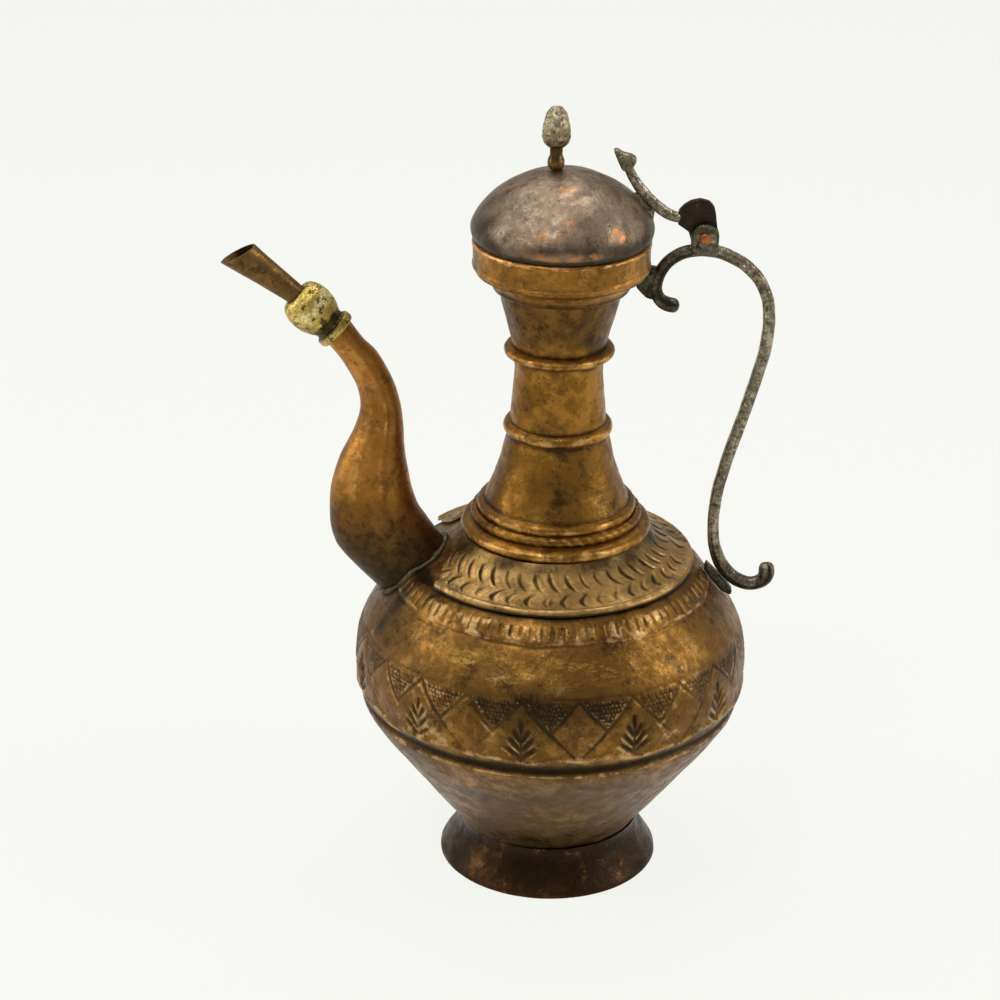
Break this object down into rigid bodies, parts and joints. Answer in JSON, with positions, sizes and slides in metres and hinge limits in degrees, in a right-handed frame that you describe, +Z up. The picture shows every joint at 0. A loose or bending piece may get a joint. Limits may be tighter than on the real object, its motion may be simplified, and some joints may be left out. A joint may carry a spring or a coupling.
{
  "type": "lidded copper ewer",
  "caption": "Hammered copper ewer: round belly on a flared foot, tall ringed neck, swan-neck spout, forged iron handle and a hinged domed lid with a pine-cone finial.",
  "frame": {"origin": "centre of the ewer's length and depth at the level it stands on; the vessel's own upright axis is at x = 0.0227 m", "axes": "+Z up, spout towards -X, handle and lid hinge towards +X, +Y across the ewer"},
  "size_m": [0.2484, 0.1784, 0.3603],
  "materials": {
    "foot_copper": "nearly black patina with brown patches",
    "bowl_copper": "hammered copper with dark brown patina",
    "belly_copper": "hammered copper with brown patina and chased ornament",
    "collar_copper": "chased copper, rubbed bright on the high spots",
    "neck_copper": "golden brown patinated copper",
    "rim_copper": "golden copper, worn bright along the lip",
    "spout_copper": "smooth golden copper, darker at the root",
    "ferrule_brass": "pitted yellow brass",
    "beak_copper": "dull brown copper with green traces",
    "forged_iron": "forged iron, dark and rubbed silvery on its edges",
    "rivet_copper": "bare orange copper",
    "lid_copper": "grey-brown patina worn through to orange copper",
    "finial_metal": "cast, grainy, silvery metal",
    "thumb_copper": "blackened copper plate with a red edge"
  },
  "bodies": {
    "jug": {"foot_ring": "foot_copper", "lower_bowl": "bowl_copper", "upper_belly": "belly_copper", "shoulder_collar": "collar_copper", "neck_base_ring": "neck_copper", "neck_rope_ring": "neck_copper", "neck_top_ring": "neck_copper", "neck_cone": "neck_copper", "lower_neck_bead": "neck_copper", "neck_tube": "neck_copper", "upper_neck_bead": "neck_copper", "neck_flare": "neck_copper", "mouth_cup": "rim_copper", "rim_band": "rim_copper", "spout_body": "spout_copper", "spout_ferrule": "ferrule_brass", "spout_beak": "beak_copper", "handle_bar": "forged_iron", "handle_top_lug": "forged_iron", "handle_foot_pad": "forged_iron", "hinge_rivet": "rivet_copper"},
    "lid": {"lid_dome": "lid_copper", "lid_flange": "lid_copper", "finial": "finial_metal", "finial_washer": "lid_copper", "lid_arm": "forged_iron", "arm_seat": "forged_iron", "thumb_plate": "thumb_copper"}
  },
  "joints": [
    {"name": "lid_hinge", "type": "hinge", "parent": "jug", "child": "lid", "pos_m": [0.0852, 0, 0.3032], "axis": [0, 1, 0], "range_deg": [0, 80]}
  ]
}
